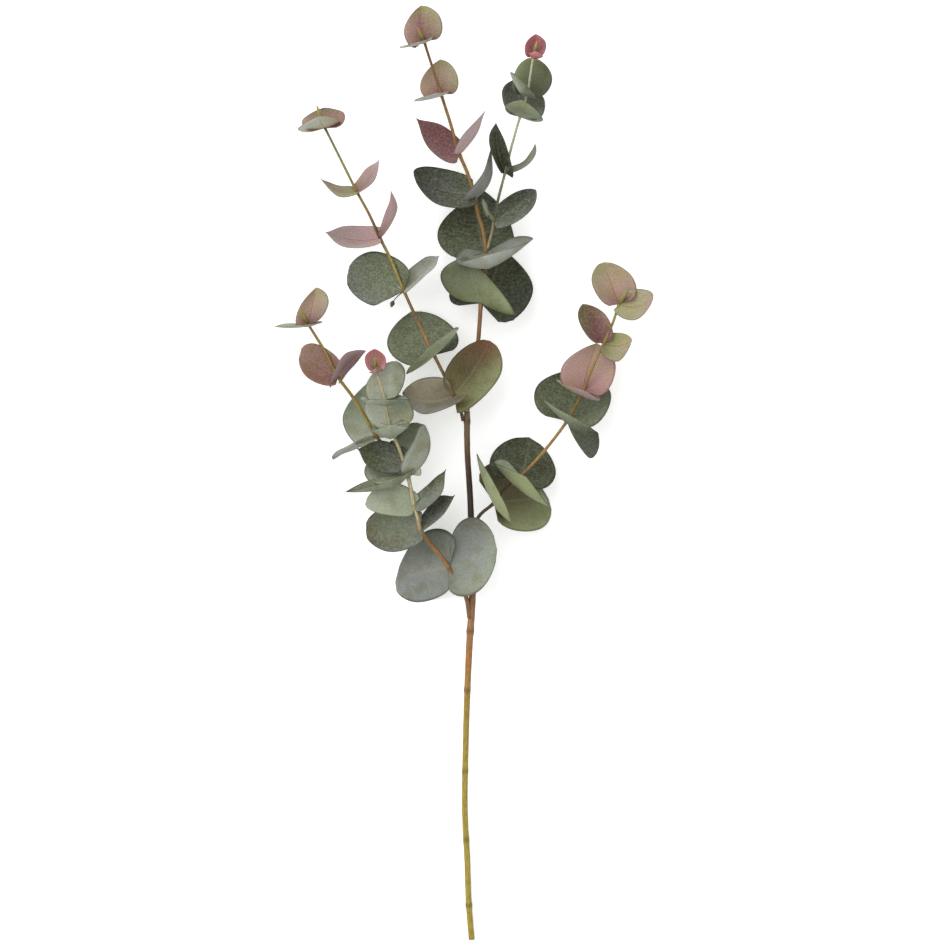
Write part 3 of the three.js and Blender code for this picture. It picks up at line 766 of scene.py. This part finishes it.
def leaf_skin(name, layer, vein, veins, mottle, stain, rim, roughness):
    """Living leaf skin under a thin wax bloom. The eye gets a soft matt surface, clouded in
    patches of a few millimetres, a faint midrib with slanting side veins, and a thin dark rim."""
    material, tree, shader = new_material(name, Specular_IOR_Level=0.3)
    spot = add(tree, "ShaderNodeTexCoord", {}, "Object")
    blade = add(tree, "ShaderNodeUVMap", {}, uv_map="blade")
    x = add(tree, "ShaderNodeSeparateXYZ", {0: blade}, "X")
    along = add(tree, "ShaderNodeSeparateXYZ", {0: blade}, "Y")
    across = add(tree, "ShaderNodeMath", {0: x, 1: 2.0, 2: -1.0}, operation="MULTIPLY_ADD")
    reach = add(tree, "ShaderNodeMath", {0: across}, operation="ABSOLUTE")

    # Stained patches of about 15 mm, veins that fade to the tip, and the rim.
    colour, cloud, grain = waxed_colour(tree, layer, spot, mottle)
    patch = add(tree, "ShaderNodeTexNoise", {"Vector": spot, "Scale": 70, "Detail": 2}, "Fac")
    spread = add(tree, "ShaderNodeMapRange", {"Value": patch, 1: 0.48, 2: 0.66, 4: 0.6})
    colour = add(tree, "ShaderNodeMix", {0: spread, 6: colour, 7: stain}, **TINT)
    web = vein_web(tree, reach, along, patch)
    fainter = {"Value": along, 1: 0.0, 2: 1.0, 3: veins, 4: veins * 0.35}
    near = add(tree, "ShaderNodeMapRange", fainter)
    drawn = add(tree, "ShaderNodeMath", {0: web, 1: near}, operation="MULTIPLY")
    colour = add(tree, "ShaderNodeMix", {0: drawn, 6: colour, 7: linear(vein)}, **PAINT)
    edge = add(tree, "ShaderNodeMapRange", {"Value": reach, 1: 0.92, 2: 1.0, 4: 0.55})
    colour = add(tree, "ShaderNodeMix", {0: edge, 6: colour, 7: linear(rim)}, **PAINT)
    tree.links.new(colour, shader.inputs["Base Color"])

    # Wax clouds are also more matt, and veins and grain stand up from the skin.
    dull = {"Value": cloud, 1: 0.3, 2: 0.7, 3: roughness - 0.08, 4: roughness + 0.1}
    tree.links.new(add(tree, "ShaderNodeMapRange", dull), shader.inputs["Roughness"])
    ridge = add(tree, "ShaderNodeMath", {0: web, 1: 0.8, 2: grain}, operation="MULTIPLY_ADD")
    bump = add(tree, "ShaderNodeBump", {"Height": ridge, "Strength": 0.3, "Distance": 0.0004})
    tree.links.new(bump, shader.inputs["Normal"])
    return material


def leaf_faces(name, vein, veins, mottle, stain, rim, roughness):
    """The face a leaf shows and the one behind it, where the veins and clouds are fainter."""
    front = leaf_skin(f"{name}_front", "seen", vein, veins, mottle, stain, rim, roughness)
    back = leaf_skin(f"{name}_back", "other", vein, veins * 0.7, mottle * 0.6, stain, rim, roughness)
    return [front, back]


def bark(name, streaks, pores, roughness):
    """Young eucalyptus bark. The eye gets smooth satin wood with fine streaks along it, darker
    breathing pores and a slightly uneven surface."""
    material, tree, shader = new_material(name, Specular_IOR_Level=0.35, Roughness=roughness)
    spot = add(tree, "ShaderNodeTexCoord", {}, "Object")
    tone = add(tree, "ShaderNodeAttribute", {}, "Color", attribute_name="seen")
    # Streaks about 1 mm wide and 5 mm long, pores about 2 mm apart.
    long = add(tree, "ShaderNodeMapping", {"Vector": spot, "Scale": (1.0, 0.2, 1.0)})
    streak = add(tree, "ShaderNodeTexNoise", {"Vector": long, "Scale": 900, "Detail": 4}, "Fac")
    pore = add(tree, "ShaderNodeTexNoise", {"Vector": spot, "Scale": 480, "Detail": 2}, "Fac")
    dark = add(tree, "ShaderNodeMapRange", {"Value": streak, 1: 0.55, 2: 0.35, 4: streaks})
    colour = add(tree, "ShaderNodeMix", {0: dark, 6: tone, 7: (0.4, 0.33, 0.26, 1)}, **TINT)
    pale = add(tree, "ShaderNodeMapRange", {"Value": streak, 1: 0.52, 2: 0.72, 4: streaks * 0.6})
    lit = {0: pale, 6: colour, 7: (1.9, 1.75, 1.5, 1)}
    colour = add(tree, "ShaderNodeMix", lit, clamp_result=False, **TINT)
    spots = add(tree, "ShaderNodeMapRange", {"Value": pore, 1: 0.62, 2: 0.72, 4: pores})
    colour = add(tree, "ShaderNodeMix", {0: spots, 6: colour, 7: (0.3, 0.2, 0.14, 1)}, **TINT)
    tree.links.new(colour, shader.inputs["Base Color"])
    bump = add(tree, "ShaderNodeBump", {"Height": streak, "Strength": 0.5, "Distance": 0.0004})
    tree.links.new(bump, shader.inputs["Normal"])
    return material


# What a stained patch lets through: it browns green and rose-red leaves and greens young ones.
BROWNING, GREENING = (0.75, 0.66, 0.5, 1), (0.88, 0.98, 0.62, 1)
GREEN = leaf_faces("waxy_green_leaf", "#8b9078", 0.3, 0.8, BROWNING, "#25251d", 0.6)
YOUNG = leaf_faces("waxy_young_leaf", "#7d3b40", 0.7, 0.6, GREENING, "#64443c", 0.58)
ROSE = leaf_faces("waxy_rose_leaf", "#7a2c36", 0.6, 0.5, BROWNING, "#6a2e34", 0.55)
STEM_SKIN = bark("smooth_stem_bark", 0.45, 0.35, 0.6)
TWIG_SKIN = bark("thin_twig_bark", 0.5, 0.35, 0.58)


# Pieces
def main_stem():
    """The bare stem, from the cut end to where the leader goes on, swollen at its old scars."""
    bm = new_mesh()
    points = smooth_path(STEM["path"], STEM_STEPS)
    knots = [(share_at(points, STEM_X, y), high) for y, high in STEM["knots"]]

    def radius_at(share):
        bump = max(high * hump(share, [at], KNOT) for at, high in knots)
        return (step(STEM["radius"], share) + bump) * MM

    stick(bm, points, radius_at, STEM_BARK, sides=24, rings=[at for at, _ in knots])
    finish_piece(bm, "main_stem_bark", [STEM_SKIN], "main_stem", "stem_wood")


def blades(points, rows, looks, node, materials, slot):
    """The leaves of one node, each a thin blade with one material for each face."""
    bm = new_mesh()
    for i, (row, look) in enumerate(zip(rows, looks)):
        leaf(bm, points[nearest(points, *row[0])], row, i, look)
    piece = finish_piece(bm, f"{node}_blades", materials, node, slot)
    solid = piece.modifiers.new("blade", "SOLIDIFY")
    solid.thickness = BLADE
    solid.offset = 0
    solid.material_offset = 1
    solid.material_offset_rim = 0


def twig_wood(name, points, rows, start, end):
    """The length of twig that carries the leaves of one node, with a joint at each leaf."""
    bm = new_mesh()
    joints = [share_at(points, *row[0]) for row in rows]

    def radius_at(share):
        return (step(TWIGS[name]["radius"], share) + JOINT_RISE * hump(share, joints, JOINT)) * MM

    few, colours = points[::COARSER], TWIG_BARK[name]
    stick(bm, few, radius_at, colours, sides=12, start=start, end=end, rings=joints)
    return bm


def droplet(bm, stalk, tip):
    """A bud 4.2 mm wide that hangs from a leaf joint, on a stalk that thins from 1.2 to 0.8 mm."""
    points = smooth_path(stalk, 12)
    stick(bm, points, lambda share: (0.6 - 0.2 * share) * MM, SHOOT_BARK, sides=8)
    bud(bm, points[-1], place(*tip), width=4.2, colours=SHOOT_BARK)


def lower_twig(name, points, split):
    """The older length of a twig, with its green leaves."""
    twig, node, slot = TWIGS[name], f"{name}_leaves", "green_leaf"
    blades(points, twig["leaves"], LOOKS[name], node, GREEN, slot)
    wood = twig_wood(name, points, twig["leaves"], 0, split)
    if "droplet" in twig:
        droplet(wood, **twig["droplet"])
    finish_piece(wood, f"{name}_lower_twig", [TWIG_SKIN], node, slot)


def upper_twig(name, points, split):
    """The outer length of a twig, with its young leaves or its rose-red cup, and its end bud."""
    twig, cup = TWIGS[name], name in ("fork_twig", "left_low_twig")
    node = f"{name}_tip" if cup else f"{name}_young"
    materials, slot = (ROSE, "rose_leaf") if cup else (YOUNG, "young_leaf")
    blades(points, twig["young"], LOOKS[f"{name}_young"], node, materials, slot)
    wood = twig_wood(name, points, twig["young"], split, 1)
    seat_at, (x, y, height), width = twig["bud"]
    seat = points[nearest(points, *seat_at)]
    bud(wood, seat, place(x, y, height + seat.z / MM), width, BUD_SCALES)
    finish_piece(wood, f"{name}_upper_twig", [TWIG_SKIN], node, slot)


def branch():
    """The stem and all twigs, each in a lower and an upper piece with its leaves."""
    main_stem()
    for name, twig in TWIGS.items():
        points = smooth_path(twig["path"], TWIG_STEPS)
        split = share_at(points, *twig["split"])
        lower_twig(name, points, split)
        upper_twig(name, points, split)


# Studio
TABLE_REACH = 6  # metres from the middle to an edge
IMAGE = 941  # pixels on each side of the picture, each one unit of the drawing
LENS, SENSOR = 500, 36  # millimetres, a long lens
TWIG_HEIGHT = 36  # millimetres above the table, where one pixel is just one unit


def table():
    """A white light table: its own faint glow keeps the branch's shadow pale."""
    bm = bmesh.new()
    bmesh.ops.create_grid(bm, x_segments=1, y_segments=1, size=TABLE_REACH)
    mesh = bpy.data.meshes.new("table")
    bm.to_mesh(mesh)
    bm.free()
    top = bpy.data.objects.new("table", mesh)
    bpy.context.collection.objects.link(top)
    white = (0.95, 0.95, 0.95, 1)
    material, _, _ = new_material(
        "glowing_white_table", Base_Color=white, Roughness=0.9, Specular_IOR_Level=0.0,
        Emission_Color=white, Emission_Strength=0.35,
    )
    mesh.materials.append(material)


def light():
    """Even white light from all round, and a wide soft lamp from the upper left."""
    world = bpy.data.worlds.new("studio")
    world.use_nodes = True
    sky = world.node_tree.nodes["Background"]
    sky.inputs["Color"].default_value = (1, 1, 1, 1)
    sky.inputs["Strength"].default_value = 0.9
    bpy.context.scene.world = world

    lamp = bpy.data.lights.new("soft_key", "SUN")
    lamp.energy = 1.4
    lamp.angle = math.radians(60)
    key = bpy.data.objects.new("soft_key", lamp)
    key.rotation_euler = (math.radians(-28), math.radians(-32), 0)
    bpy.context.collection.objects.link(key)
    bpy.context.scene.view_settings.view_transform = "Standard"


def camera():
    """Straight down from almost 12 m, so that high and low leaves keep their places."""
    lens = bpy.data.cameras.new("camera")
    lens.lens = LENS
    lens.sensor_width = SENSOR
    lens.clip_end = 100
    eye = bpy.data.objects.new("camera", lens)
    bpy.context.collection.objects.link(eye)
    distance = IMAGE * UNIT * LENS / SENSOR
    eye.location = place(IMAGE / 2, IMAGE / 2, TWIG_HEIGHT) + Vector((0, 0, distance))
    bpy.context.scene.camera = eye


branch()
table()
light()
camera()
